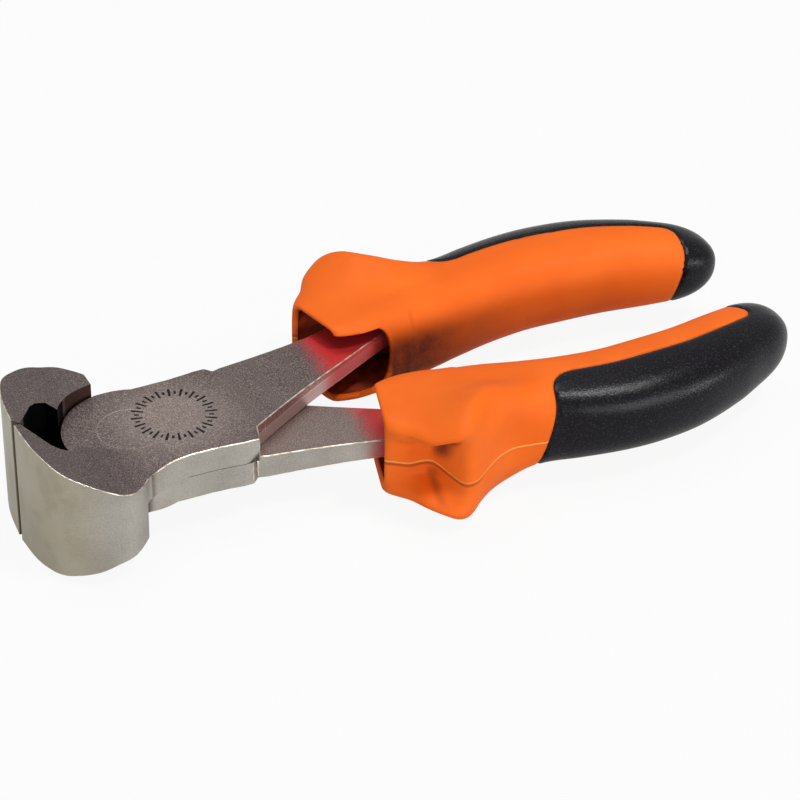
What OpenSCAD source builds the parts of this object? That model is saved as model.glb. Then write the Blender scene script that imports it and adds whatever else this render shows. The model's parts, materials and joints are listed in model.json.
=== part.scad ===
// End cutting nippers with a lap joint and two-component grips.
// Both halves are the same: the lower one is the upper one turned over about the X axis.
// Lengths are in millimetres, angles in degrees. The jaws point to -X, the handles to +X.

/* [Cutting head] */
// Width of the cutting edge, which is also the height of the closed tool lying down
cut_w = 28; // [24:0.5:32]
// Rivet axis to the cutting edge
cut_reach = 22.1; // [20.5:0.1:24]
// Half width of the closed head across the backs of the jaws
jaw_reach = 21.4; // [19.5:0.1:23]
// Depth of the V ground in front of the cutting edge
v_depth = 1.5; // [0.8:0.1:2.2]
// Half width of that V
v_half = 0.9; // [0.5:0.1:1.4]
// Rivet axis to the back corner of the throat behind the edge
throat_back = 14.5; // [14.2:0.1:15.5]
// Half width of that throat
throat_half = 7.6; // [6.5:0.1:8.2]
// Gap between the two closed cutting edges
edge_gap = 0.12; // [0.06:0.02:0.3]

/* [Lap joint] */
// Thickness of one lever at the lap
lap_t = 5.35; // [4.6:0.05:6.2]
// Radius of the round end of each lap
disc_r = 13.4; // [12.8:0.1:13.8]
// Half width of the lap at its waist
waist_half = 12.45; // [12:0.05:12.8]
// Half width of the lap at its heel
heel_half = 13.1; // [12.9:0.1:13.8]
// Rivet axis to the heel of the lap
heel_x = 20.6; // [19.8:0.1:22]
// Step in from the heel to the shank
heel_step = 1.4; // [0.8:0.1:1.8]
// Gap between the two lap faces
lap_gap = 0.1; // [0.06:0.02:0.2]
// Gap between a lap's round end and the jaw shoulder round it
shoulder_gap = 0.45; // [0.3:0.05:0.6]
// Distance in front of the rivet axis at which the jaw shoulder ends
shoulder_end = 3; // [2.4:0.1:3.8]

/* [Rivet] */
// Radius of the rivet's shaft
rivet_r = 4.25; // [3.5:0.05:5]
// Radius of the rivet's flush head
rivet_head_r = 6.5; // [5.8:0.1:7]
// Depth of the countersink that holds the head
sink_depth = 1.8; // [1.2:0.1:2.2]
// Gap all round the rivet where the upper lever turns on it
rivet_gap = 0.05; // [0.02:0.01:0.09]

/* [Shank and tang] */
// Thickness of the shank where it enters the sleeve, and of the tang
shank_t = 4.3; // [3.6:0.1:4.6]
// Width of the shank where it enters the sleeve
shank_w = 12.4; // [11.5:0.1:13]
// Width of the tang at its end
tang_end_w = 6; // [5:0.5:8]
// Rivet axis to the end of the tang
tang_end_x = 118; // [108:1:120]

/* [Grips] */
// Rivet axis to the front of the sleeve
grip_start = 46.2; // [45:0.1:47.5]
// Rivet axis to the end of the handle
grip_end = 138.5; // [132:0.1:142]
// Distance from the tool's middle line to the handle's middle where it bows out most
bow = 22.4; // [21:0.1:24]
// Width of the grip
grip_w = 20; // [18:0.2:21]
// Height of the grip
grip_h = 18.4; // [17:0.2:20]
// How far the thumb guard stands out from the grip's outer side
guard_out = 10.3; // [6:0.1:12]
// Height of the thumb guard, on which the tool lies
guard_h = 28; // [24:0.5:32]
// Slant of the sleeve's mouth
mouth_slant = 15; // [10:1:18]
// Side wall of the sleeve at its mouth
mouth_wall = 1.8; // [1.2:0.1:2.4]
// Roof and floor of the sleeve at its mouth
mouth_roof = 1; // [0.7:0.1:1.6]
// Depth of the hollow mouth along the tool
mouth_depth = 18; // [14:0.5:20]
// Length of the window in the mouth's inner wall
window_len = 11; // [8:0.5:13]
// Thickness of the black overmould
overmould_t = 2.2; // [1.6:0.1:2.8]
// Gap between the tang and the sleeve
tang_gap = 0.05; // [0.02:0.01:0.15]

/* [Hidden] */
steel = [0.42, 0.40, 0.39];
bright = [0.62, 0.60, 0.58];
orange = [0.95, 0.43, 0.12];
black = [0.13, 0.12, 0.14];

// Length that a cut runs past the face it opens
overrun = 1;
// Facets of the bores and the round laps
round_fn = 96;
// Points between two points of a smooth outline
curve_steps = 4;

// Half the height of the closed head, and the frame's origin under the middle of the tool
edge_half = cut_w / 2;
jaw_front = cut_reach + v_depth;
middle_x = (grip_end - jaw_front) / 2;

// Back of one jaw: share of the cutting reach along the tool, share of the jaw reach across it
jaw_back_shares = [[-1.05, 0.30], [-1.018, 0.49], [-0.95, 0.70], [-0.86, 0.825], [-0.725, 0.92],
                   [-0.60, 0.975], [-0.455, 1], [-0.33, 0.98], [-0.227, 0.905], [-0.15, 0.82],
                   [-0.09, 0.75]];
// Neck from the jaw's back to the lap's waist: share of the heel distance, share of the waist
neck_shares = [[0.02, 1.185], [0.11, 1.105], [0.23, 1.04], [0.39, 1]];
// Throat wall of one jaw: share of the throat's length back from the edge, share of its half width
throat_shares = [[0.53, 0.82], [0.71, 0.96], [1, 1]];
// Height of a jaw over its lap face: share of the cutting reach, share of the rise to the edge
rise_shares = [[-0.94, 0.83], [-0.84, 0.70], [-0.70, 0.54], [-0.59, 0.41], [-0.5, 0.295],
               [-0.42, 0.20], [-0.33, 0.13], [-0.23, 0.052], [-0.06, 0]];
// Depth of the same jaw past the other lever's lap face, with the same two shares
drop_shares = [[-0.94, 0.87], [-0.84, 0.78], [-0.70, 0.68], [-0.59, 0.58], [-0.5, 0.48],
               [-0.42, 0.425], [-0.33, 0.38], [-0.23, 0.34], [-0.06, 0.31]];
// Lap side from the waist to the heel: share of the heel distance, share of the widening
lap_side_shares = [[0.6, 0.12], [0.8, 0.6], [0.9, 1]];
// Outer and inner edge of the shank: share of the way to the sleeve, share of the tool's bow
shank_outer_shares = [[0.51, 0.545], [0.70, 0.608], [0.90, 0.691], [1.07, 0.79]];
shank_inner_shares = [[0.5, -0.404], [0.77, -0.058], [1.07, 0.282]];

// Handle's middle line: share of its length from the sleeve's front, share of the bow
middle_shares = [[0, 0.668], [0.08, 0.742], [0.15, 0.797], [0.22, 0.817], [0.33, 0.883],
                 [0.42, 0.953], [0.52, 0.998], [0.61, 0.998], [0.71, 0.965], [0.82, 0.858],
                 [0.9, 0.755], [1, 0.668]];
// Half width on the inner side, as a share of half the grip's width, at the same kind of places
inner_shares = [[0, 0.64], [0.03, 0.79], [0.07, 0.9], [0.15, 0.96], [0.33, 0.98], [0.42, 0.97],
                [0.52, 0.97], [0.61, 0.99], [0.71, 0.99], [0.82, 0.95], [0.9, 0.85], [1, 0.76]];
// Half width on the outer side without the guard, with the same shares
outer_shares = [[0, 0.82], [0.08, 0.75], [0.15, 0.83], [0.22, 0.91], [0.33, 0.94], [0.42, 1.03],
                [0.52, 1.10], [0.61, 1.11], [0.71, 1.05], [0.82, 0.95], [0.9, 0.84], [1, 0.76]];
// Half height, as a share of half the grip's height
height_shares = [[0, 1], [0.08, 1.03], [0.15, 1.05], [0.22, 1.03], [0.33, 1.01], [0.42, 1.01],
                 [0.52, 1.01], [0.61, 1.02], [0.71, 1], [0.82, 0.93], [0.9, 0.84], [1, 0.76]];
// How far the thumb guard's two wings reach outwards along the handle, and its hollow waist
// between them
guard_wing_shares = [[0, 0.01], [0.02, 0.23], [0.045, 0.47], [0.07, 0.82], [0.1, 1], [0.125, 0.95],
                     [0.15, 0.72], [0.18, 0.36], [0.21, 0.12], [0.25, 0.02], [0.3, 0]];
guard_waist_shares = [[0, 0.01], [0.04, 0.07], [0.075, 0.055], [0.09, 0.13], [0.105, 0.33],
                      [0.13, 0.64], [0.15, 0.64], [0.19, 0.36], [0.25, 0.04], [0.3, 0]];
// How far the wings are raised along the handle
guard_up_shares = [[0, 0], [0.04, 0], [0.07, 0.06], [0.1, 0.38], [0.125, 0.74], [0.15, 1],
                   [0.2, 0.98], [0.25, 0.6], [0.3, 0.22], [0.36, 0.05], [0.43, 0]];
// Share of the section's height at which the waist begins to widen into a wing, and over which
wing_start_share = 0.35;
wing_rise_share = 0.5;
// Squareness of the section: the superellipse's power
power_shares = [[0, 5], [0.15, 4.6], [0.25, 3.6], [0.35, 2.7], [1, 2.4]];
// Where the round end of the handle begins, and the powers that round it
nose_share = 0.86;
nose_power = 2.6;
nose_root_share = 0.48;
// How far back the mouth's slant fades out, and the slant of the overmould's front edge
mouth_fade_share = 0.2;
cover_fade_share = 0.2;
// How far over the middle the thumb guard's swell begins
guard_over_share = 0.15;
// Where the tang's taper begins, its width there as a share of the shank's, and its bends
tang_start_share = 0.19;
tang_width_share = 0.76;
tang_bend_shares = [0.19, 0.28, 0.37, 0.46, 0.55, 0.64];
// Corner of the throat beside the round lap, as shares of the lap's radius
throat_corner_shares = [[0, 0.5], [0.93, 0.37]];
// Place of the mouth's outer wall, as a share of half the grip's width
mouth_side_share = 0.87;
// Where the overmould begins on the outer side, and where the orange strip on the inner side ends
cover_share = 0.35;
strip_end_share = 0.9;
// Slant of the overmould's front edge, in degrees
cover_slant = 13;
// Cells cut off the overmould's front corners, and off the ends of the orange strip
corner_cells = 3;
strip_cells = 2;
// Share of the handle at which its last ring lies, just short of a point
end_share = 0.9985;
// Rings along the handle, and points round each
ring_count = 40;
ring_points = 32;

function eased(t) = t * t * (3 - 2 * t);
// Value at x of a list of [place, value] pairs, smooth from one pair to the next
function at(list, x, i = 0) =
    i >= len(list) - 1 || x <= list[0][0] ? list[x <= list[0][0] ? 0 : len(list) - 1][1]
    : x <= list[i + 1][0]
        ? spline(list[max(i - 1, 0)], list[i], list[i + 1], list[min(i + 2, len(list) - 1)], x)
        : at(list, x, i + 1);
// Cubic through b and c whose slopes follow their neighbours
function slope(p, q) = q[0] == p[0] ? 0 : (q[1] - p[1]) / (q[0] - p[0]);
function spline(a, b, c, d, x) =
    let (w = c[0] - b[0], t = (x - b[0]) / w, m0 = slope(a, c) * w, m1 = slope(b, d) * w)
    b[1] * (2 * t ^ 3 - 3 * t ^ 2 + 1) + m0 * (t ^ 3 - 2 * t ^ 2 + t)
    + c[1] * (3 * t ^ 2 - 2 * t ^ 3) + m1 * (t ^ 3 - t ^ 2);

// Smooth line through the points of a plan outline
function bend(a, b, c, d, t) =
    0.5 * (2 * b + (c - a) * t + (2 * a - 5 * b + 4 * c - d) * t ^ 2
           + (3 * b - a - 3 * c + d) * t ^ 3);
function smooth(p) = [
    for (i = [0 : len(p) - 2], k = [0 : curve_steps - 1])
        bend(p[max(i - 1, 0)], p[i], p[i + 1], p[min(i + 2, len(p) - 1)], k / curve_steps),
    p[len(p) - 1]];
function reversed(p) = [for (i = [len(p) - 1 : -1 : 0]) p[i]];

// Handle's middle line, the half sizes of its section, and the tang inside it
function handle_x(s) = grip_start + s * (grip_end - grip_start);
function share_at(x) = (x - grip_start) / (grip_end - grip_start);
function middle_y(x) = bow * at(middle_shares, share_at(x));
function tang_half(x) =
    let (start = handle_x(tang_start_share), s = (x - start) / (tang_end_x - start))
    (shank_w * tang_width_share * (1 - s) + tang_end_w * s) / 2;
function tang_line(side, grow) = [
    for (s = tang_bend_shares)
        let (x = handle_x(s)) [x, middle_y(x) + side * (tang_half(x) + grow)],
    [tang_end_x + grow, middle_y(tang_end_x) + side * (tang_end_w / 2 + grow)]];
// One edge of the shank and the tang behind it, moved outwards by grow
function bar_line(side, grow) = smooth(concat(
    [for (p = side > 0 ? shank_outer_shares : shank_inner_shares)
        [p[0] * grip_start, p[1] * bow + side * grow]],
    tang_line(side, grow)));

// Plan outline of one jaw, of the upper lever
module jaw_plan() {
    back = [for (p = jaw_back_shares) [p[0] * cut_reach, -p[1] * jaw_reach]];
    neck = [for (p = neck_shares) [p[0] * heel_x, -p[1] * waist_half]];
    throat = [for (p = throat_shares)
        [p[0] * (cut_reach - throat_back) - cut_reach, -p[1] * throat_half]];
    waist = neck[len(neck) - 1];
    polygon(concat(
        [[-cut_reach, -edge_gap / 2]],
        smooth(concat([[-jaw_front, -v_half]], back, neck)),
        [[waist[0], -disc_r * throat_corner_shares[0][1]],
         -disc_r * throat_corner_shares[1]],
        reversed(throat)));
}

// Side profile of the same jaw, seen along Y
module jaw_side() {
    rise = edge_half - lap_t;
    top = [for (p = rise_shares) [p[0] * cut_reach, lap_t + p[1] * rise]];
    low = [for (p = drop_shares) [p[0] * cut_reach, -lap_t - p[1] * rise]];
    polygon(concat(
        smooth(concat([[-jaw_front, edge_half]], top)),
        [[heel_x, lap_t], [heel_x, low[len(low) - 1][1]]],
        reversed(smooth(concat([[-jaw_front, -edge_half]], low)))));
}

module jaw() {
    difference() {
        intersection() {
            translate([0, 0, -edge_half]) linear_extrude(cut_w) jaw_plan();
            rotate([90, 0, 0]) linear_extrude(jaw_reach + overrun) jaw_side();
        }
        translate([0, 0, -edge_half - overrun])
            cylinder(r = disc_r + shoulder_gap, h = edge_half + overrun + lap_gap / 2, $fn = round_fn);
        translate([-shoulder_end, -jaw_reach - overrun, -edge_half - overrun])
            cube([heel_x + jaw_reach, jaw_reach + overrun, edge_half + overrun + lap_gap / 2]);
    }
}

// Lap, shank and tang of one lever, cut from a plate of one thickness
module plate() {
    side = [for (p = lap_side_shares)
        [p[0] * heel_x, waist_half + p[1] * (heel_half - waist_half)]];
    translate([0, 0, lap_gap / 2]) cylinder(r = disc_r, h = lap_t - lap_gap / 2, $fn = round_fn);
    intersection() {
        linear_extrude(lap_t) polygon(concat(
            [[0, waist_half]],
            side,
            [[heel_x, heel_half], [heel_x + heel_step, heel_half - heel_step]],
            bar_line(1, 0),
            reversed(bar_line(-1, 0)),
            [[heel_x + heel_step, -heel_half], [heel_x, -heel_half]],
            reversed([for (p = side) [p[0], -p[1]]]),
            [[0, -waist_half]]));
        rotate([90, 0, 0]) translate([0, 0, -2 * bow]) linear_extrude(4 * bow) polygon([
            [-disc_r, lap_gap / 2], [tang_end_x + overrun, lap_gap / 2],
            [tang_end_x + overrun, shank_t], [grip_start, shank_t],
            [heel_x, lap_t], [-disc_r, lap_t]]);
    }
}

// Space that the rivet fills, with a gap all round it
module rivet_shape(gap) {
    reach = lap_t + (gap > 0 ? overrun : 0);
    translate([0, 0, -reach]) cylinder(r = rivet_r + gap, h = 2 * reach, $fn = round_fn);
    for (side = [0, 180]) rotate([side, 0, 0]) translate([0, 0, lap_t - sink_depth])
        cylinder(r1 = rivet_r + gap, r2 = rivet_head_r + gap, h = sink_depth, $fn = round_fn);
}

module lever(gap) {
    difference() {
        union() {
            jaw();
            plate();
        }
        rivet_shape(gap);
    }
}

// Section of the grip at one place along the handle, drawn in by inset
function ring(s, inset) =
    let (x = handle_x(s), y = bow * at(middle_shares, s),
         u = max(s - nose_share, 0) / (1 - nose_share),
         nose = (1 - min(u, 1) ^ nose_power) ^ nose_root_share,
         inside = grip_w / 2 * at(inner_shares, s),
         plain = grip_w / 2 * at(outer_shares, s),
         high = grip_h / 2 * at(height_shares, s),
         lift = at(guard_up_shares, s) * (guard_h / 2 - high),
         p = 2 / at(power_shares, s),
         mouth = tan(mouth_slant) * max(1 - s / mouth_fade_share, 0),
         lean = tan(cover_slant) * max(1 - abs(s - cover_share) / cover_fade_share, 0))
    [for (k = [0 : ring_points - 1])
        let (a = 360 * k / ring_points, c = cos(a), z = sin(a),
             wing = eased(min(max((abs(z) ^ p - wing_start_share) / wing_rise_share, 0), 1)),
             guard = at(guard_waist_shares, s) * (1 - wing) + at(guard_wing_shares, s) * wing,
             outside = plain + guard * guard_out,
             across = sign(c) * abs(c) ^ p * ((c > 0 ? outside : inside) * nose - inset),
             rise = lift * eased(min(max(across / outside + guard_over_share, 0), 1)),
             up = sign(z) * abs(z) ^ p * ((high + rise) * nose - inset))
        [x - across * mouth - up * lean, y + across, up]];

// The grip's surface is a grid of rings. A cell has two triangles, 0 at its front and 1 at its
// back, and the diagonal between them runs the other way in the lower half.
function wrap(k) = (k + ring_points) % ring_points;
function turned(k) = wrap(k) >= ring_points / 2;
function corners(i, k, t) =
    turned(k) ? (t == 0 ? [[i, k], [i, k + 1], [i + 1, k]] : [[i, k + 1], [i + 1, k + 1], [i + 1, k]])
    : (t == 0 ? [[i, k], [i, k + 1], [i + 1, k + 1]] : [[i, k], [i + 1, k + 1], [i + 1, k]]);
// Triangle on the far side of each edge of that triangle
function beside(i, k, t) =
    turned(k) ? (t == 0 ? [[i - 1, k, 1], [i, k, 1], [i, k - 1, 1 - turned_tip(k - 1)]]
                 : [[i, k + 1, turned_tip(k + 1)], [i + 1, k, 0], [i, k, 0]])
    : (t == 0 ? [[i - 1, k, 1], [i, k + 1, turned_tip(k + 1)], [i, k, 1]]
       : [[i, k, 0], [i + 1, k, 0], [i, k - 1, 1 - turned_tip(k - 1)]]);
// Number of the triangle that holds a cell's first long edge; the other one holds the second
function turned_tip(k) = turned(k) ? 0 : 1;

// Whether the overmould covers a triangle: the outer half turn from its front edge on, with its
// corners cut, and from the end of the orange strip on the whole turn
quarter = ring_points / 4;
cover_ring = round(cover_share * ring_count);
strip_ring = round(strip_end_share * ring_count);
function height_of(k) = let (h = wrap(k)) min(h, ring_points - 1 - h);
function covered(i, k, t) =
    let (h = height_of(k), front = i - cover_ring + quarter - corner_cells,
         end = i - strip_ring + strip_cells + quarter)
    h < quarter
        ? i >= cover_ring && (h < front || (h == front && t == 1))
        : i >= strip_ring || (h < quarter + strip_cells && (h < end || (h == end && t == 1)));

function point_index(p, layer) =
    (layer * (ring_count + 1) + p[0]) * ring_points + wrap(p[1]);
// The core under the overmould stops short of the end of the handle
function core_share(i) =
    let (s = i / ring_count * end_share, room = overmould_t / (grip_end - grip_start))
    s - room * max(i - strip_ring, 0) / (ring_count - strip_ring);
grip_points = [
    for (inset = [0, overmould_t], i = [0 : ring_count])
        each ring(inset == 0 ? i / ring_count * end_share : core_share(i), inset)];
cells = [for (i = [0 : ring_count - 1], k = [0 : ring_points - 1], t = [0, 1]) [i, k, t]];
function face(c, layer) = [for (p = corners(c[0], c[1], c[2])) point_index(p, layer)];
function is_covered(c) = c[0] >= 0 && (c[0] >= ring_count || covered(c[0], c[1], c[2]));
// Walls along the edge of the covered area, facing the overmould's own outside
walls = [for (c = cells) if (is_covered(c))
    let (v = corners(c[0], c[1], c[2]), n = beside(c[0], c[1], c[2]))
    for (e = [0 : 2]) if (!is_covered(n[e]))
        let (p = v[e], q = v[(e + 1) % 3])
        [point_index(q, 0), point_index(p, 0), point_index(p, 1), point_index(q, 1)]];
function end_cap(i, layer) = [for (k = [0 : ring_points - 1]) point_index([i, k], layer)];

module sleeve_body() {
    polyhedron(points = grip_points, faces = [for (f = concat(
        [for (c = cells) face(c, is_covered(c) ? 1 : 0)],
        [for (w = walls) reversed(w)],
        [reversed(end_cap(0, 0)), end_cap(ring_count, 1)])) reversed(f)]);
}

module overmould() {
    polyhedron(points = grip_points, faces = [for (f = concat(
        [for (c = cells) if (is_covered(c)) each [face(c, 0), reversed(face(c, 1))]],
        walls,
        [end_cap(ring_count, 0), reversed(end_cap(ring_count, 1))])) reversed(f)]);
}

// Hollow mouth round the shank, with the window in its inner wall, and the tang's pocket
module mouth() {
    half = grip_h / 2 - mouth_roof;
    back = grip_start + mouth_depth;
    window = grip_start + window_len;
    outer_y = middle_y(grip_start) + grip_w / 2 * mouth_side_share - mouth_wall;
    inner_y = middle_y(window) - grip_w / 2 + mouth_wall;
    translate([0, 0, -half]) linear_extrude(2 * half) polygon([
        [grip_start - mouth_depth, 0],
        [window, 0],
        [window, inner_y],
        [back, inner_y + mouth_wall],
        [back, outer_y],
        [grip_start - mouth_depth, outer_y]]);
    translate([0, 0, lap_gap / 2 - tang_gap]) linear_extrude(shank_t - lap_gap / 2 + 2 * tang_gap)
        polygon(concat(bar_line(1, tang_gap), reversed(bar_line(-1, tang_gap))));
}

module sleeve() {
    difference() {
        sleeve_body();
        mouth();
    }
}

// The frame's origin lies under the middle of the tool, on the surface that it lies on
module place() {
    translate([-middle_x, 0, edge_half]) children();
}
// Turns a piece of the upper half over into its place in the lower half
module lower() {
    rotate([180, 0, 0]) children();
}

module lower_lever() {
    color(steel) place() lower() lever(0);
}
module upper_lever() {
    color(steel) place() lever(rivet_gap);
}
module pivot_rivet() {
    color(bright) place() rivet_shape(0);
}
module lower_sleeve() {
    color(orange) place() lower() sleeve();
}
module upper_sleeve() {
    color(orange) place() sleeve();
}
module lower_overmould() {
    color(black) place() lower() overmould();
}
module upper_overmould() {
    color(black) place() overmould();
}

lower_lever();
upper_lever();
pivot_rivet();
lower_sleeve();
upper_sleeve();
lower_overmould();
upper_overmould();
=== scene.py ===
import json
from functools import lru_cache
from math import cos, exp, hypot, pi, radians, sin, sqrt, tan

import bmesh
import bpy
from mathutils import Matrix, Vector


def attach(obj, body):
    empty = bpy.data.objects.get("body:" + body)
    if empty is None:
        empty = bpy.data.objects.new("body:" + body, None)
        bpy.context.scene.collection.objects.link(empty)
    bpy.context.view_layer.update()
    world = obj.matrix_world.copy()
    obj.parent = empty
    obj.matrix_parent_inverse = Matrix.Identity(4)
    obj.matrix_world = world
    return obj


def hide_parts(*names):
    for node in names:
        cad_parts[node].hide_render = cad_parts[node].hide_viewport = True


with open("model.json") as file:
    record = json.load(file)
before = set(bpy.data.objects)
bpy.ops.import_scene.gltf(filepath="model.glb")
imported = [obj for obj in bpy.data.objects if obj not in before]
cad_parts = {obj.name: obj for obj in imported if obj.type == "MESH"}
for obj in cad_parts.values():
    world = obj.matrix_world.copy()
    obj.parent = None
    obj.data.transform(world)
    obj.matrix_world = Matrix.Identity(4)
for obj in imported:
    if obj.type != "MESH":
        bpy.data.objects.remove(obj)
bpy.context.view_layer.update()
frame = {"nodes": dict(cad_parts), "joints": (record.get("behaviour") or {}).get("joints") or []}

scene = bpy.context.scene

# Forged levers
# Each half is one chrome vanadium forging from jaw to tang. Its faces are grain-blasted, its
# sides and the backs of the jaws are ground bright, and the trimmed edges are left a little round.
MM = 0.001
PIVOT = Vector(frame["joints"][0]["pos_m"])
HALVES = (("upper", False), ("lower", True))
SAME_PLACE = 0.001 * MM
SAME_FLAT = radians(0.4)
TRIM_ANGLE = radians(32)
TRIM_ROUND = 0.20 * MM
TRIM_SEGMENTS = 3
GRAIN_SIZE = 0.24 * MM
SATIN_SIZE = 0.22 * MM
CLOUD_SIZE = 8 * MM
STAIN_SIZE = 5 * MM
NICK_SIZE = 1.8 * MM
BLAST_DEPTH = 0.05 * MM
PARTING_HALF = 0.6 * MM
HEEL = 22.6 * MM
RIVET_ZONE = 7.2 * MM
RIVET_SEAM = 6.5 * MM
RIVET_SEAM_LINE = (0.05 * MM, 0.22 * MM)
SHOULDER_SHARP = 16.8 * MM
SHOULDER_SHADE = 15.8 * MM
V_SHARP_HALF = 1.2 * MM
V_DARK_HALF = 0.86 * MM
THROAT_FRONT = -20.9 * MM
THROAT_BACK = -9.5 * MM
THROAT_HALF = 9.3 * MM
FLASH_HEIGHT = 3.2 * MM
FLASH_OUT = 0.22 * MM
FLASH_START = 22.0 * MM
FLASH_LINE = (0.08 * MM, 0.3 * MM)
LIGHTER_CENTRE = 9 * MM
LIGHTER_EDGE = (5 * MM, 18 * MM)
SHANK_EDGE = (18 * MM, 26 * MM)
JAW_EDGE = (-9 * MM, -22 * MM)
MARK_CENTRE = (9.6 * MM, 1.0 * MM)
MARK_INNER = 6.1 * MM
MARK_OUTER = 8.6 * MM
MARK_SHORTER = 0.7 * MM
MARK_BLUR = 0.12 * MM
MARK_COUNT = 40
UPPER_FADE = 41.5 * MM
LOWER_FADE = 44.1 * MM
FADE_WANDER = 4 * MM
FADE_EDGE = (-1.5 * MM, 4.5 * MM)


class Wire:
    """A shader socket that takes part in Python sums."""

    def __init__(self, nodes, socket):
        self.nodes = nodes
        self.socket = socket

    def maths(self, operation, first, second=0.0):
        return self.nodes.add("Math", {"operation": operation}, {0: first, 1: second})

    def __add__(self, other):
        return self.maths("ADD", self, other)

    def __radd__(self, other):
        return self.maths("ADD", other, self)

    def __sub__(self, other):
        return self.maths("SUBTRACT", self, other)

    def __rsub__(self, other):
        return self.maths("SUBTRACT", other, self)

    def __mul__(self, other):
        return self.maths("MULTIPLY", self, other)

    def __rmul__(self, other):
        return self.maths("MULTIPLY", other, self)

    def __pow__(self, other):
        return self.maths("POWER", self, other)

    def __abs__(self):
        return self.maths("ABSOLUTE", self)

    def sign(self):
        return self.maths("SIGN", self)

    def fraction(self):
        return self.maths("FRACT", self)

    def higher(self, other):
        return self.maths("MAXIMUM", self, other)

    def ramp(self, low, high):
        return self.nodes.add("MapRange", {"interpolation_type": "SMOOTHSTEP"},
                              {"Value": self, "From Min": low, "From Max": high})


class Nodes:
    """A node tree to which nodes are added one by one."""

    def __init__(self, tree):
        self.tree = tree

    def add(self, kind, settings=None, inputs=None, output=0):
        node = self.tree.nodes.new("ShaderNode" + kind)
        for name, value in (settings or {}).items():
            setattr(node, name, value)
        for name, value in (inputs or {}).items():
            self.plug(node.inputs[name], value)
        return Wire(self, node.outputs[output])

    def plug(self, socket, value):
        if isinstance(value, Wire):
            self.tree.links.new(value.socket, socket)
        elif socket.type == "RGBA":
            socket.default_value = (*value, 1)
        else:
            socket.default_value = value


class Finish(Nodes):
    """A material: its Principled shader and the nodes that drive it."""

    def __init__(self, name):
        self.material = bpy.data.materials.new(name)
        self.material.use_nodes = True
        super().__init__(self.material.node_tree)
        self.shader = self.tree.nodes["Principled BSDF"]

    def split(self, vector):
        node = self.add("SeparateXYZ", None, {0: vector}).socket.node
        return [Wire(self, output) for output in node.outputs]

    def place(self):
        return self.split(self.add("TexCoord", None, None, "Object"))

    def noise(self, size, detail=3.0):
        return self.add("TexNoise", None, {"Vector": self.add("TexCoord", None, None, "Object"),
                                           "Scale": 1 / size, "Detail": detail})

    def blend(self, factor, first, second):
        mix = self.add("Mix", {"data_type": "RGBA"}, {"Factor": factor}, 2)
        self.plug(mix.socket.node.inputs[6], first)
        self.plug(mix.socket.node.inputs[7], second)
        return mix

    def set(self, **values):
        for name, value in values.items():
            self.plug(self.shader.inputs[name.replace("_", " ")], value)

    def relief(self, height, depth, strength=1.0):
        self.set(Normal=self.add("Bump", None, {"Height": height, "Distance": depth,
                                                "Strength": strength}))


def distance(right, ahead):
    return (right * right + ahead * ahead) ** 0.5


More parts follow.
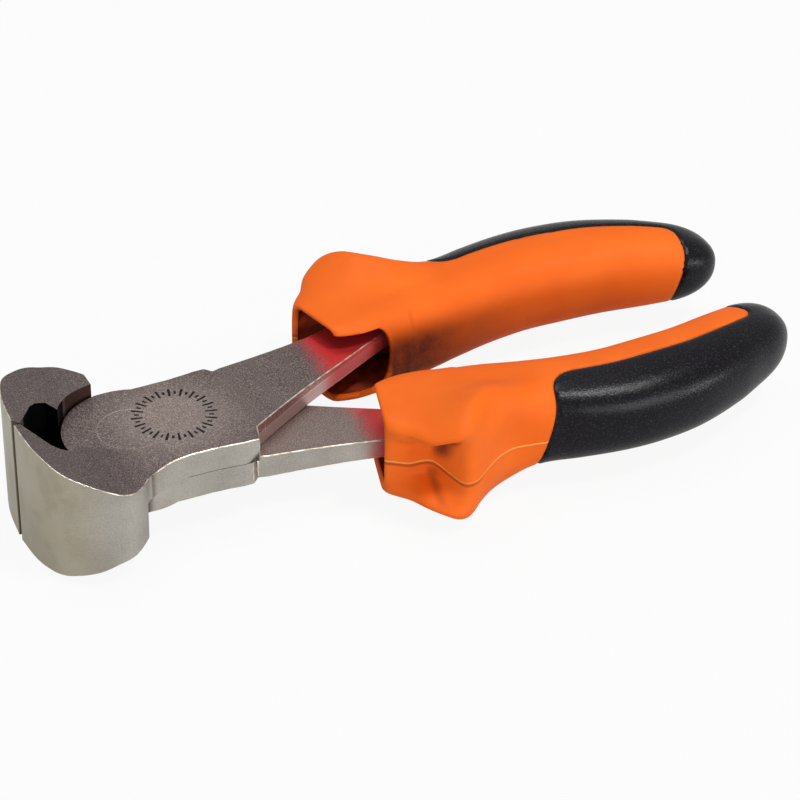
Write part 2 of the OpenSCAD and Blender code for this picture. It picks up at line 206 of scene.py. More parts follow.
class Steel(Finish):
    """Forged steel, blasted on the flats and ground on the sides, with wear and painted light in
    layers.
    """

    def __init__(self, name, marked):
        super().__init__(name)
        x, y, self.height = self.place()
        self.along = x - PIVOT.x
        self.across = y - PIVOT.y
        self.radius = distance(self.along, self.across)
        self.facing = self.split(self.add("NewGeometry", None, None, "Normal"))
        self.blasted = abs(self.facing[2]).ramp(0.30, 0.62)
        self.side = 1 - self.blasted
        self.grain = self.noise(GRAIN_SIZE)
        self.speck = self.grain.ramp(0.42, 0.74)
        self.cloud = self.noise(CLOUD_SIZE, 2.0)
        self.colour = self.blend(self.blasted, self.ground_colour(), self.blasted_colour(marked))

    def blasted_colour(self, marked):
        """Dark with light specks, and lighter in the middle of the lap."""
        lighter_middle = 1 - distance(self.along - LIGHTER_CENTRE, self.across).ramp(*LIGHTER_EDGE)
        shank = self.along.ramp(*SHANK_EDGE) * (0.02 if marked else 0.20)
        tone = self.speck * 0.60 + self.cloud * 0.10 + lighter_middle * 0.27 + shank
        return self.blend(tone, (0.085, 0.064, 0.067), (0.47, 0.385, 0.34))

    def ground_colour(self):
        """Satin, warmer and a little stained towards the cutting edges."""
        satin = self.noise(SATIN_SIZE) * 0.6 + self.cloud * 0.4
        colour = self.blend(satin.ramp(0.3, 0.7), (0.345, 0.32, 0.285), (0.54, 0.51, 0.46))
        front = self.along.ramp(*JAW_EDGE)
        colour = self.blend(front * 0.7, colour, (0.39, 0.345, 0.24))
        stain = self.noise(STAIN_SIZE).ramp(0.46, 0.72) * front
        return self.blend(stain * 0.24, colour, (0.24, 0.175, 0.105))

    def tint(self, mask, colour):
        self.colour = self.blend(mask, self.colour, colour)

    def paint_flash_side_reflection(self, inner_side):
        """Paints on the shank's inner side a pink reflection of the sleeves and a highlight on the
        flash.
        """
        inside = (self.facing[1] * inner_side).ramp(0.35, 0.7)
        inside = inside * (self.along - FLASH_START).ramp(0, MM)
        level = abs(self.height - PIVOT.z)
        below = (FLASH_HEIGHT - level).ramp(-0.1 * MM, 0.1 * MM)
        flash_highlight = 1 - abs(level - FLASH_HEIGHT).ramp(*FLASH_LINE)
        pink_reflection = self.blend(self.speck, (0.46, 0.18, 0.17), (0.92, 0.56, 0.54))
        pink_reflection = self.blend(below, pink_reflection, (0.74, 0.50, 0.47))
        pink_reflection = self.blend(flash_highlight * (0.4 + self.speck * 0.6), pink_reflection, (0.92, 0.84, 0.82))
        self.tint(inside * 0.85, pink_reflection)

    def stamp_marks(self):
        """Stamps a ring of plain ticks on the lap, of which every second one is shorter."""
        right = self.along - MARK_CENTRE[0]
        ahead = self.across - MARK_CENTRE[1]
        ring = distance(right, ahead)
        turn = self.add("Math", {"operation": "ARCTAN2"}, {0: ahead, 1: right})
        count = turn * (MARK_COUNT / (2 * pi)) + MARK_COUNT
        tick = abs(count.fraction() - 0.5)
        second = abs((count * 0.5 + 0.25).fraction() - 0.5)
        shorter = second.ramp(0.24, 0.26) * MARK_SHORTER
        mark = tick.ramp(0.25, 0.19) * (ring - shorter - MARK_INNER).ramp(0, MARK_BLUR)
        mark = mark * (MARK_OUTER - shorter - ring).ramp(0, MARK_BLUR) * self.blasted
        self.tint(mark * 0.95, (0.010, 0.009, 0.011))

    def paint_throat_shade(self):
        """Paints shade into the hollow behind the cutting edges, and gives back where it is."""
        throat = (THROAT_HALF - abs(self.across)).ramp(-0.3 * MM, 0.3 * MM)
        throat = throat * (self.along - THROAT_FRONT).ramp(-0.4 * MM, 0.3 * MM)
        throat = throat * (THROAT_BACK - self.along).ramp(-0.5 * MM, 0.5 * MM) * self.side
        self.tint(throat, (0.004, 0.004, 0.005))
        return throat

    def paint_shade_and_rivet_ring(self):
        """Paints shade in the V between the ground edges and on the lap's shoulders; rings the rivet.
        """
        v_ground = (THROAT_FRONT - MM - self.along).ramp(0, 0.3 * MM)
        v_ground = v_ground * (V_DARK_HALF - abs(self.across)).ramp(-0.1 * MM, 0.1 * MM)
        self.tint(v_ground * self.side * 0.9, (0.055, 0.038, 0.025))
        shoulder = (abs(self.across) - THROAT_HALF).ramp(-MM, MM)
        shoulder = shoulder * (SHOULDER_SHADE - self.radius).ramp(-0.3 * MM, 0.3 * MM)
        shoulder = shoulder * (-MM - self.along).ramp(-MM, MM)
        self.tint(shoulder * self.side * 0.9, (0.085, 0.030, 0.024))
        seam = 1 - abs(self.radius - RIVET_SEAM).ramp(*RIVET_SEAM_LINE)
        self.tint(seam * self.blasted * 0.22, (0.60, 0.54, 0.48))

    def paint_sleeve_reflection(self, start):
        """Paints the mouth's red reflection on the shank in front of it, and gives back where it is.
        """
        sleeve_reflection = (self.along - start - (0.5 - self.cloud) * FADE_WANDER).ramp(*FADE_EDGE)
        sleeve_reflection = sleeve_reflection * (0.80 + self.speck * 0.20)
        self.tint(sleeve_reflection, (0.66, 0.010, 0.014))
        return sleeve_reflection


def steel(name, inner_side, marked):
    """The finish of one steel piece, with an inner side of 1 or -1 along Y, or 0 for none."""
    finish = Steel(name, marked)
    if inner_side:
        # Painted pink reflection and painted highlight on the inner side of the shank.
        finish.paint_flash_side_reflection(inner_side)
    if marked:
        finish.stamp_marks()
    # Painted shade in the throat.
    throat = finish.paint_throat_shade()
    # Painted shade in the V and on the lap's shoulders, and a light ring round the rivet.
    finish.paint_shade_and_rivet_ring()
    # Painted red reflection of the orange sleeve on the shank in front of each mouth, less metallic
    # there.
    sleeve_reflection = finish.paint_sleeve_reflection(UPPER_FADE if marked else LOWER_FADE)
    finish.set(Base_Color=finish.colour, Metallic=1 - sleeve_reflection * 0.75,
               Roughness=0.33 + finish.blasted * 0.12 + finish.grain * 0.10 + throat * 0.3)
    finish.relief(finish.grain * (0.35 + finish.blasted * 0.65), BLAST_DEPTH, 0.8)
    return finish.material


def trimmed_edge():
    """The narrow round left where the flash was trimmed: bare nicked metal, painted bright as a
    highlight.
    """
    finish = Finish("steel edge painted bright")
    nicks = finish.noise(NICK_SIZE, 4.0).ramp(0.35, 0.65)
    finish.set(Base_Color=finish.blend(nicks, (0.44, 0.36, 0.27), (0.84, 0.78, 0.67)),
               Metallic=1.0, Roughness=0.30 + nicks * 0.08)
    return finish.material


def add_piece(name, bm, material, body, node):
    for face in bm.faces:
        face.smooth = True
    mesh = bpy.data.meshes.new(name)
    bm.to_mesh(mesh)
    bm.free()
    piece = bpy.data.objects.new(name, mesh)
    scene.collection.objects.link(piece)
    mesh.materials.append(material)
    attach(piece, body)
    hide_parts(node)
    return piece


def raise_flash(bm, turned):
    """Draws out a low ridge along the inner side of the shank, where the two dies met."""
    face_up = -1 if turned else 1
    level = PIVOT + Vector((0, 0, face_up * FLASH_HEIGHT))
    cut = bmesh.ops.bisect_plane(bm, geom=bm.verts[:] + bm.edges[:] + bm.faces[:],
                                 dist=SAME_PLACE, plane_co=level, plane_no=(0, 0, 1))
    ridge = [part for part in cut["geom_cut"] if isinstance(part, bmesh.types.BMVert)]
    bm.normal_update()
    for vert in ridge:
        outward = Vector((vert.normal.x, vert.normal.y, 0))
        inner = outward.y * face_up < 0
        if vert.co.x - PIVOT.x > FLASH_START and inner:
            vert.co += outward.normalized() * FLASH_OUT


def stays_sharp(place):
    """Whether a place is on the lap's parting or shoulder, by the rivet, in the throat or the V."""
    x, y, z = place - PIVOT
    radius = hypot(x, y)
    parting = abs(z) < PARTING_HALF and x < HEEL
    shoulder = x < -MM and radius < SHOULDER_SHARP
    throat = THROAT_FRONT < x < 0 and abs(y) < THROAT_HALF
    v_ground = x < THROAT_FRONT and abs(y) < V_SHARP_HALF
    return parting or shoulder or radius < RIVET_ZONE or throat or v_ground


def mark_edges(bm):
    """Gives the edges that the trimming left round a weight, and keeps the others sharp."""
    weight = bm.edges.layers.float.new("bevel_weight_edge")
    for edge in bm.edges:
        if len(edge.link_faces) == 2 and edge.calc_face_angle() > TRIM_ANGLE:
            if all(stays_sharp(vert.co) for vert in edge.verts):
                edge.smooth = False
            else:
                edge[weight] = 1.0


edge_steel = trimmed_edge()
for half, turned in HALVES:
    bm = bmesh.new()
    bm.from_mesh(frame["nodes"][half + "_lever"].data)
    bmesh.ops.remove_doubles(bm, verts=bm.verts, dist=SAME_PLACE)
    raise_flash(bm, turned)
    bmesh.ops.dissolve_limit(bm, angle_limit=SAME_FLAT, verts=bm.verts, edges=bm.edges)
    mark_edges(bm)
    lever_steel = steel("blasted steel, " + half + " lever", 1 if turned else -1, not turned)
    forging = add_piece("forged_" + half + "_lever", bm, lever_steel, half + "_half",
                        half + "_lever")
    # The rounded edges take the edge steel, whose bright colour is a painted highlight.
    forging.data.materials.append(edge_steel)
    trim = forging.modifiers.new("trimmed edges", "BEVEL")
    trim.limit_method = "WEIGHT"
    trim.width = TRIM_ROUND
    trim.segments = TRIM_SEGMENTS
    trim.material = 1
    trim.use_clamp_overlap = False
    flats = forging.modifiers.new("even flats", "WEIGHTED_NORMAL")
    flats.keep_sharp = True

# Pivot rivet
# A steel rivet with a countersunk head on each side, pressed flush and blasted with the lap, so
# only the fine circle round its head shows.
rivet = frame["nodes"]["pivot_rivet"]
rivet.data.materials.clear()
rivet.data.materials.append(steel("blasted steel, rivet", 0, True))

# Orange grip sleeves
# A hard orange plastic sleeve is moulded for each tang, with a thumb guard, a hollow mouth that is
# open towards the other handle, and a channel for the soft moulding. Both halves use one mould.
START = 46.2
LENGTH = 92.3
HALF_WIDTH = 10.0
HALF_HEIGHT = 9.2
GUARD_OUT = 10.3
GUARD_HALF = 14.0
GUARD_OVER = 0.15
BOW = 22.4
MOUTH_SLANT = tan(radians(15))
MOUTH_SLANT_END = 0.2
MOUTH_LIP = 0.8
MOUTH_LIP_ROUND = 0.35
MIDDLE = [(0, 0.668), (0.08, 0.742), (0.15, 0.797), (0.22, 0.817), (0.33, 0.883), (0.42, 0.953),
          (0.52, 0.998), (0.61, 0.998), (0.71, 0.965), (0.82, 0.858), (0.9, 0.755), (1, 0.668)]
INNER = [(0, 0.64), (0.03, 0.79), (0.07, 0.9), (0.15, 0.96), (0.33, 0.98), (0.42, 0.97),
         (0.52, 0.97), (0.61, 0.99), (0.71, 0.99), (0.82, 0.95), (0.9, 0.85), (1, 0.76)]
OUTER = [(0, 0.82), (0.08, 0.75), (0.15, 0.83), (0.22, 0.91), (0.33, 0.94), (0.42, 1.03),
         (0.52, 1.10), (0.61, 1.11), (0.71, 1.05), (0.82, 0.95), (0.9, 0.84), (1, 0.76)]
HEIGHT = [(0, 1), (0.08, 1.03), (0.15, 1.05), (0.22, 1.03), (0.33, 1.01), (0.42, 1.01),
          (0.52, 1.01), (0.61, 1.02), (0.71, 1), (0.82, 0.93), (0.9, 0.84), (1, 0.76)]
GUARD_WING = [(0, 0.01), (0.02, 0.23), (0.045, 0.47), (0.07, 0.82), (0.1, 1), (0.125, 0.95),
              (0.15, 0.72), (0.18, 0.36), (0.21, 0.12), (0.25, 0.02), (0.3, 0)]
GUARD_WAIST = [(0, 0.01), (0.04, 0.07), (0.075, 0.055), (0.09, 0.13), (0.105, 0.33), (0.13, 0.64),
               (0.15, 0.64), (0.19, 0.36), (0.25, 0.04), (0.3, 0)]
GUARD_RAISED = [(0, 0), (0.04, 0), (0.07, 0.06), (0.1, 0.38), (0.125, 0.74), (0.15, 1), (0.2, 0.98),
                (0.25, 0.6), (0.3, 0.22), (0.36, 0.05), (0.43, 0)]
WING_START = 0.35
WING_RISE = 0.5
SQUARENESS = [(0, 5.6), (0.11, 5.4), (0.17, 4.4), (0.25, 3.6), (0.35, 2.7), (1, 2.4)]
COLLAR_END = 0.197
COLLAR_STEP = 0.4
COLLAR_STEP_RISE = 0.009
COLLAR_STEP_FADE = 0.16
VALLEY = 0.098
VALLEY_DEEP = 0.6
VALLEY_WIDE = 0.016
VALLEY_FADE = 0.7
NOSE = 0.86
NOSE_FULL = 2.6
NOSE_ROUND = 0.48
COVER_FRONT = 77.3
COVER_FRONT_CORNER = 6.5
COVER_SLANT = tan(radians(13))
COVER_SIDE = 0.4
COVER_TILT = [(0.3, 2.6), (0.52, 2.6), (0.66, 1.8), (0.9, 1.0)]
COVER_TILT_HEIGHT = 18
STRIP_END = 129.6
STRIP_END_CORNER = 2.5
STRIP_END_LEAN = 0.5
STRIP_END_HEIGHT = 16
WINDOW_END = 56.8
WINDOW_BULGE = 3.4
WINDOW_HALF = 7.9
WINDOW_STEPS = 12
WINDOW_SHARE = 0.05
SIDE_WALL = 1.3
CHANNEL = 1.7
RIM_EDGE = (-0.36, 0.02, -0.07)
RIM_START = -0.6
RIM_WIDE = 0.55
RIM_ROUND = 0.14
CHANNEL_EDGE = (0.02, 0.40, 0.10)
AROUND = 9.7
RINGS = 228
ROUND = 144
JOINED = 0.1
NO_LENGTH = 0.0005
TRIES = 3
TRY_STEP = 0.05
LEAST_SLOPE = 0.05


def along(pairs, s):
    """The value at s of a list of places and values, smooth from one to the next."""
    s = min(max(s, pairs[0][0]), pairs[-1][0])
    i = next(k for k in range(len(pairs) - 1) if s <= pairs[k + 1][0])
    (x0, a), (x1, b), (x2, c), (x3, d) = (pairs[max(i - 1, 0)], pairs[i], pairs[i + 1],
                                         pairs[min(i + 2, len(pairs) - 1)])
    w = x2 - x1
    t = (s - x1) / w
    m0 = (c - a) / (x2 - x0) * w
    m1 = (d - b) / (x3 - x1) * w
    return ((2 * t ** 3 - 3 * t ** 2 + 1) * b + (t ** 3 - 2 * t ** 2 + t) * m0
            + (3 * t ** 2 - 2 * t ** 3) * c + (t ** 3 - t ** 2) * m1)


def eased(t):
    t = min(max(t, 0), 1)
    return t * t * (3 - 2 * t)


@lru_cache(maxsize=None)
def section(s):
    """The middle line and the sizes of the grip's section at a share of its length, in mm."""
    u = max(s - NOSE, 0) / (1 - NOSE)
    high = HALF_HEIGHT * along(HEIGHT, s)
    behind = s - COLLAR_END
    step = COLLAR_STEP * eased(behind / COLLAR_STEP_RISE) * (1 - eased(behind / COLLAR_STEP_FADE))
    return (BOW * along(MIDDLE, s), HALF_WIDTH * along(INNER, s) - step,
            HALF_WIDTH * along(OUTER, s), high, along(GUARD_RAISED, s) * (GUARD_HALF - high),
            along(SQUARENESS, s), max(1 - min(u, 1) ** NOSE_FULL, 0) ** NOSE_ROUND,
            MOUTH_SLANT * max(1 - s / MOUTH_SLANT_END, 0), along(GUARD_WAIST, s),
            along(GUARD_WING, s), VALLEY_DEEP * exp(-((s - VALLEY) / VALLEY_WIDE) ** 2))


def grip_point(s, turn, sunk=0.0):
    """The grip's surface at a share of its length and a turn from its outer side, in mm."""
    s = min(max(s, 0), 1)
    middle, inside, plain, high, lift, square, nose, slant, waist, wing, valley = section(s)
    u, v = cos(turn), sin(turn)
    reach = (abs(u) ** square + abs(v) ** square) ** (-1 / square)
    u, v = u * reach, v * reach
    share = eased((abs(v) - WING_START) / WING_RISE)
    guard = GUARD_OUT * (waist * (1 - share) + wing * share)
    outside = plain - valley * (1 - VALLEY_FADE * share) + guard
    across = u * max((outside if u > 0 else inside) * nose - sunk, 0)
    rise = lift * eased(across / outside + GUARD_OVER)
    up = v * max((high + rise) * nose - sunk, 0)
    return Vector((START + s * LENGTH - across * slant, middle + across, up))


def round_corner(a, b, radius):
    """The lower of two distances, with a round corner between them."""
    if a < radius and b < radius:
        return radius - hypot(radius - a, radius - b)
    return min(a, b)


def cover(s, turn):
    """Distance in mm inside the edge of the black moulding, less than zero on the orange."""
    point = grip_point(s, turn)
    across = point.y - section(min(max(s, 0), 1))[0]
    tilt = along(COVER_TILT, s) * eased(0.5 + point.z / COVER_TILT_HEIGHT)
    side = across - COVER_SIDE - tilt
    front = point.x - COVER_FRONT + point.z * COVER_SLANT
    lean = STRIP_END_LEAN * max(-across, 0) * max(0.5 - point.z / STRIP_END_HEIGHT, 0)
    end = point.x - STRIP_END + lean
    return -round_corner(-round_corner(front, side, COVER_FRONT_CORNER), -end, STRIP_END_CORNER)


def settled(s, turn, low, high, target):
    """Moves a point whose distance inside the edge lies between low and high to the target."""
    for attempt in range(TRIES):
        f = cover(s, turn)
        if attempt == 0 and not low < f <= high:
            return s, turn
        fx = (cover(s + TRY_STEP / LENGTH, turn) - f) / TRY_STEP
        ft = (cover(s, turn + TRY_STEP / AROUND) - f) / TRY_STEP
        slope = fx * fx + ft * ft
        if slope < LEAST_SLOPE:
            return s, turn
        s -= (f - target) * fx / slope / LENGTH
        turn -= (f - target) * ft / slope / AROUND
    return s, turn


def grip_grid():
    """An open grid of rings, closer at the tip: the share of the length and turn of each vertex."""
    bm = bmesh.new()
    bmesh.ops.create_grid(bm, x_segments=RINGS, y_segments=ROUND, size=1)
    places = {}
    for vert in bm.verts:
        s = round((vert.co.x + 1) / 2, 6)
        s = s + 0.5 * (1 - NOSE) * sin(pi * s) * s ** 6
        places[vert] = (s, vert.co.y * pi - pi / 2)
    return bm, places


def close_up(bm):
    """Joins the grid's two long edges and its tip, and points its faces outwards."""
    bmesh.ops.remove_doubles(bm, verts=bm.verts, dist=JOINED)
    bmesh.ops.dissolve_degenerate(bm, edges=bm.edges, dist=NO_LENGTH)
    bmesh.ops.recalc_face_normals(bm, faces=bm.faces)


def seat(bm, turned):
    """Moves a grip from the rivet's axes into the tool, in metres, turned over for the lower half."""
    matrix = Matrix.Translation(PIVOT) @ Matrix.Rotation(pi if turned else 0, 4, "X")
    bmesh.ops.transform(bm, matrix=matrix @ Matrix.Scale(MM, 4), verts=bm.verts)


def thicken(piece, wall):
    """Gives a shell its wall, inwards from the surface that was modelled."""
    inwards = piece.modifiers.new("wall", "SOLIDIFY")
    inwards.thickness = wall * MM
    inwards.offset = -1
    return inwards


def sleeve_shell():
    """The sleeve's outer surface, with its rim rounded down to the channel of the moulding."""
    bm, places = grip_grid()
    for vert, place in places.items():
        place = settled(*settled(*place, *RIM_EDGE), *CHANNEL_EDGE)
        f = cover(*place)
        rounding = RIM_ROUND * max(min((f - RIM_START) / RIM_WIDE, 1), 0) ** 3
        lip = MOUTH_LIP_ROUND * max(1 - place[0] * LENGTH / MOUTH_LIP, 0) ** 2
        vert.co = grip_point(*place, sunk=(rounding if f < RIM_EDGE[1] else CHANNEL) + lip)
    close_up(bm)
    return bm


def window_end(z):
    return WINDOW_END + WINDOW_BULGE * sqrt(max(1 - (z / WINDOW_HALF) ** 2, 0))


def open_window(bm):
    """Cuts the opening in the mouth's inner wall, straight above and below and round at its back."""
    outline = [(START - LENGTH, -WINDOW_HALF)]
    for k in range(WINDOW_STEPS + 1):
        z = -WINDOW_HALF * cos(pi * k / WINDOW_STEPS)
        outline.append((window_end(z), z))
    outline.append((START - LENGTH, WINDOW_HALF))
    wall = [face for face in bm.faces
            if face.calc_center_median().x < WINDOW_END + 2 * WINDOW_BULGE
            and face.calc_center_median().y < section(WINDOW_SHARE)[0]]
    geom = list({part for face in wall for part in (*face.verts, *face.edges)}) + wall
    for (x0, z0), (x1, z1) in zip(outline, outline[1:]):
        cut = bmesh.ops.bisect_plane(bm, geom=geom, dist=NO_LENGTH, plane_co=(x0, 0, z0),
                                     plane_no=(z1 - z0, 0, x0 - x1))
        geom = cut["geom"]
    spare = []
    for part in geom:
        if isinstance(part, bmesh.types.BMFace):
            centre = part.calc_center_median()
            if abs(centre.z) < WINDOW_HALF and centre.x < window_end(centre.z):
                spare.append(part)
    bmesh.ops.delete(bm, geom=spare, context="FACES")


BEAD_FLANK = 20.5 * MM
BEAD_LIFT = 1.3 * MM
BEAD_LIFT_EDGE = (44 * MM, 50 * MM)
BEAD_HALF = (0.05 * MM, 0.42 * MM)
DIP = 1.8 * MM
DIP_FRONT = (53 * MM, 57.5 * MM)
DIP_BACK = (59.5 * MM, 66 * MM)
SHADE_LIFT = 0.55 * MM
SHADE_END = (58 * MM, 63 * MM)
STREAK = 53.9 * MM
STREAK_LEAN = 0.17
STREAK_LOWER = -4 * MM
STREAK_UPPER = 5 * MM
GUARD_BACK = 59 * MM
INNER_FLANK = 14 * MM
INNER_FOOT = -8.5 * MM
INNER_EDGE = 3.5 * MM
DIRT_AND_SHADE_THINNER = (66 * MM, 80 * MM)
DIRT_AND_SHADE_GONE = (84 * MM, 120 * MM)


def parting_bead(along_tool, height, outward):
    """The raised parting bead, painted as a highlight, painted shade above it, and its dip at the
    guard.
    """
    dip = along_tool.ramp(*DIP_FRONT) * (1 - along_tool.ramp(*DIP_BACK))
    level = height - (along_tool.ramp(*BEAD_LIFT_EDGE) * BEAD_LIFT + dip * DIP)
    bead_and_highlight = (1 - abs(level).ramp(*BEAD_HALF)) * outward
    shade = (1 - abs(level - SHADE_LIFT).ramp(0.08 * MM, 0.6 * MM)) * outward
    return bead_and_highlight, shade * (1 - along_tool.ramp(*SHADE_END)), dip


def valley_shade(along_tool, height, outward):
    """Painted shade in the valley in front of the guard, most of it low down."""
    streak = 1 - abs(along_tool - STREAK + height * STREAK_LEAN).ramp(0.1 * MM, 1.5 * MM)
    streak = streak * outward
    lower = streak * (1 - abs(height - STREAK_LOWER).ramp(1.5 * MM, 5 * MM))
    upper = streak * (1 - abs(height - STREAK_UPPER).ramp(MM, 3.5 * MM))
    return lower.higher(upper * 0.5)


def collar_dirt_and_shade(along_tool, across_tool, height):
    """Dirt and painted shade on the inner side behind the guard, thinner towards the end of the
    handle.
    """
    left = 1 - along_tool.ramp(*DIRT_AND_SHADE_THINNER) * 0.55 - along_tool.ramp(*DIRT_AND_SHADE_GONE) * 0.45
    behind = (along_tool - GUARD_BACK).ramp(0, 1.5 * MM) * (1 - height.ramp(MM, 7.5 * MM)) * left
    inward = (INNER_FLANK - abs(across_tool)).ramp(0, INNER_EDGE)
    return behind * (inward * (height - INNER_FOOT).ramp(0, INNER_EDGE))


def orange_plastic():
    """Satin plastic, the raised parting bead, painted highlight and shade, and dirt behind the guard.
    """
    finish = Finish("orange sleeve plastic")
    x, y, z = finish.place()
    along_tool = x - PIVOT.x
    across_tool = y - PIVOT.y
    height = (z - PIVOT.z) * across_tool.sign()
    outward = (abs(across_tool) - BEAD_FLANK).ramp(0, 2 * MM)
    fine = finish.noise(0.4 * MM, 2.0)
    bead_and_highlight, shade, dip = parting_bead(along_tool, height, outward)
    valley = valley_shade(along_tool, height, outward)
    collar = collar_dirt_and_shade(along_tool, across_tool, height)
    mottle = 0.50 + finish.noise(2.4 * MM) * 0.5 + fine * 0.4
    dirt_and_shade = (valley * 0.85).higher(collar * 0.92) * mottle
    cloud = finish.noise(14 * MM).ramp(0.3, 0.75)
    colour = finish.blend(cloud, (0.80, 0.126, 0.007), (0.86, 0.150, 0.010))
    # Painted shade in the valley, and dirt with painted shade behind the guard.
    colour = finish.blend(dirt_and_shade, colour, (0.085, 0.011, 0.004))
    # Painted shade above the parting bead.
    colour = finish.blend(shade * 0.6, colour, (0.22, 0.030, 0.008))
    # The bead's colour painted bright as a highlight.
    colour = finish.blend(bead_and_highlight * (0.8 - dip * 0.3), colour, (0.98, 0.36, 0.07))
    finish.set(Base_Color=colour, Roughness=0.48 + fine * 0.12, Specular_IOR_Level=0.16)
    finish.relief(fine * 0.05 + bead_and_highlight, 0.24 * MM, 0.9)
    return finish.material


def sleeve_inside():
    """The same plastic on the unpolished core side of the mould, dull and darkened as painted shade.
    """
    finish = Finish("painted shade inside the sleeve")
    patches = finish.noise(3 * MM).ramp(0.35, 0.65)
    finish.set(Base_Color=finish.blend(patches, (0.17, 0.022, 0.008), (0.34, 0.046, 0.010)),
               Roughness=0.55 + patches * 0.15, Specular_IOR_Level=0.25)
    return finish.material


orange = orange_plastic()
inside_orange = sleeve_inside()
for half, turned in HALVES:
    bm = sleeve_shell()
    open_window(bm)
    seat(bm, turned)
    sleeve = add_piece(half + "_grip_sleeve", bm, orange, half + "_half",
                       half + "_sleeve")
    # The inner faces of the wall take the darker plastic as painted shade.
    sleeve.data.materials.append(inside_orange)
    thicken(sleeve, SIDE_WALL).material_offset = 1

# Black soft mouldings
# A black thermoplastic rubber is moulded into the sleeve's channel. It covers the outer side and
# wraps round the end of the handle, with a fine grain from its mould.
MOULDING_WALL = 1.4
MOULDING_PROUD = 0.10
MOULDING_EDGE = (-0.22, 0.34, 0.06)
MOULDING_LEAST = 0.05
MOULDING_ROUND = 0.32
MOULDING_ROUND_WIDE = 0.8


def moulding_shell():
    """The moulding's outer surface, rounded down to its edge, which stays sharp to the wall."""
    bm, places = grip_grid()
    for vert, place in places.items():
        place = settled(*place, *MOULDING_EDGE)
        places[vert] = place
        edge_share = max(1 - max(cover(*place), 0) / MOULDING_ROUND_WIDE, 0)
        vert.co = grip_point(*place, sunk=MOULDING_ROUND * edge_share ** 2.4 - MOULDING_PROUD)
    spare = []
    for face in bm.faces:
        if sum(cover(*places[vert]) for vert in face.verts) / len(face.verts) < MOULDING_LEAST:
            spare.append(face)
    bmesh.ops.delete(bm, geom=spare, context="FACES")
    close_up(bm)
    for edge in bm.edges:
        edge.smooth = not edge.is_boundary
    return bm


def black_rubber():
    """Smooth rubber, almost black, with a fine grain whose tops are a little lighter."""
    finish = Finish("black soft moulding")
    grain = finish.noise(0.36 * MM)
    cloud = finish.noise(9 * MM)
    tops = grain.ramp(0.52, 0.74)
    finish.set(Base_Color=finish.blend(tops, (0.002, 0.0015, 0.003), (0.026, 0.022, 0.034)),
               Roughness=0.18 + grain * 0.12 + cloud * 0.05, Specular_IOR_Level=0.19)
    finish.relief(grain, 0.055 * MM)
    return finish.material


black = black_rubber()
for half, turned in HALVES:
    bm = moulding_shell()
    seat(bm, turned)
    moulding = add_piece(half + "_grip_moulding", bm, black, half + "_half",
                         half + "_overmould")
    thicken(moulding, MOULDING_WALL)

# Floor and room
# A flat white floor that keeps the tool's shadow and reaches far past the view. The room round it
# is plain white too, and dimmer in what it lights than in what the camera sees.
FLOOR_HALF = 4.0
FLOOR_GLOW = 0.92
ROOM_LIGHT = 0.30
GLOSS_LIGHT = 0.42


def seen_directly(nodes):
    """One where the camera looks at the floor or the room, and less in a glossy surface."""
    path = nodes.add("LightPath").socket.node
    return Wire(nodes, path.outputs["Is Camera Ray"]).higher(
        Wire(nodes, path.outputs["Is Glossy Ray"]) * GLOSS_LIGHT)


floor_finish = Finish("white floor")
glow = floor_finish.add("Emission", None, {"Color": (1, 1, 1), "Strength": 1.0})
mixed = floor_finish.add("MixShader", None, {
    0: seen_directly(floor_finish) * FLOOR_GLOW,
    1: Wire(floor_finish, floor_finish.shader.outputs[0]), 2: glow})
floor_finish.set(Base_Color=(0.62, 0.62, 0.62), Roughness=0.9)
floor_finish.plug(floor_finish.tree.nodes["Material Output"].inputs[0], mixed)
bm = bmesh.new()
bmesh.ops.create_grid(bm, x_segments=1, y_segments=1, size=FLOOR_HALF)
mesh = bpy.data.meshes.new("floor")
bm.to_mesh(mesh)
bm.free()
mesh.materials.append(floor_finish.material)
floor = bpy.data.objects.new("floor", mesh)
scene.collection.objects.link(floor)

scene.world = bpy.data.worlds.new("plain white room")
scene.world.use_nodes = True
room = Nodes(scene.world.node_tree)
background = room.tree.nodes["Background"]
room.plug(background.inputs["Color"], (1, 1, 1))
room.plug(background.inputs["Strength"], seen_directly(room) * (1 - ROOM_LIGHT) + ROOM_LIGHT)

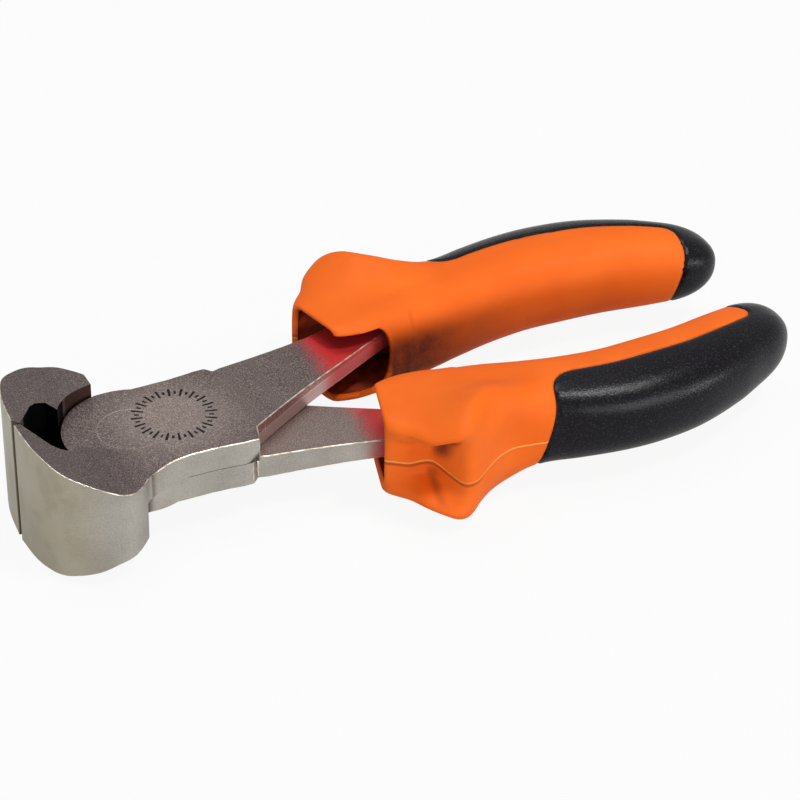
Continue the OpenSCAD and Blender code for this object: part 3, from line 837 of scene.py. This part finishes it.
# Lamps
# A wide soft lamp above and behind the tool, a small one for the highlights on the mouldings, and
# three lower ones round its front. Each has its place, its width and height, and its power.
TARGET = PIVOT + Vector((55.28, -5.91, 0)) * MM
LAMPS = (
    ("wide lamp above", (-0.05, 0.22, 0.75), (0.5, 0.3), 2.1),
    ("small lamp above", (0.22, -0.26, 0.76), (0.12, 0.07), 2.8),
    ("low lamp at the left", (-0.62, -0.40, 0.22), (0.3, 0.3), 1.2),
    ("low lamp in front", (0.30, -0.85, 0.24), (0.5, 0.25), 2.4),
    ("low lamp at the right", (0.66, -0.62, 0.10), (0.12, 0.12), 1.1),
)
for name, place, (width, height), power in LAMPS:
    lamp = bpy.data.lights.new(name, "AREA")
    lamp.shape = "RECTANGLE"
    lamp.size = width
    lamp.size_y = height
    lamp.energy = power
    holder = bpy.data.objects.new(name, lamp)
    scene.collection.objects.link(holder)
    holder.location = place
    holder.rotation_euler = (TARGET - holder.location).to_track_quat("-Z", "Y").to_euler()

# Camera
# It stands where the photograph was taken from: in front of the jaws, looking down on the tool.
# Its lens is a long one, and its place was fitted to the outline of the tool.
YAW, RISE, ROLL = radians(-25.24), radians(36.02), radians(0.80)
DISTANCE = 628.23 * MM
SENSOR = 36
FRAME_PIXELS = 800
FOCUS_PIXELS = 3133.31
LENS = FOCUS_PIXELS / FRAME_PIXELS * SENSOR
CLIP_END = 20
back = Vector((sin(YAW) * cos(RISE), -cos(YAW) * cos(RISE), sin(RISE)))
right = Vector((cos(YAW), sin(YAW), 0))
top = back.cross(right)
right, top = right * cos(ROLL) + top * sin(ROLL), top * cos(ROLL) - right * sin(ROLL)
view = bpy.data.cameras.new("photograph")
view.sensor_width = SENSOR
view.lens = LENS
view.clip_end = CLIP_END
camera = bpy.data.objects.new("photograph", view)
scene.collection.objects.link(camera)
camera.matrix_world = Matrix.Translation(TARGET + back * DISTANCE) @ Matrix(
    (right, top, back)).transposed().to_4x4()
scene.camera = camera
scene.view_settings.view_transform = "Standard"
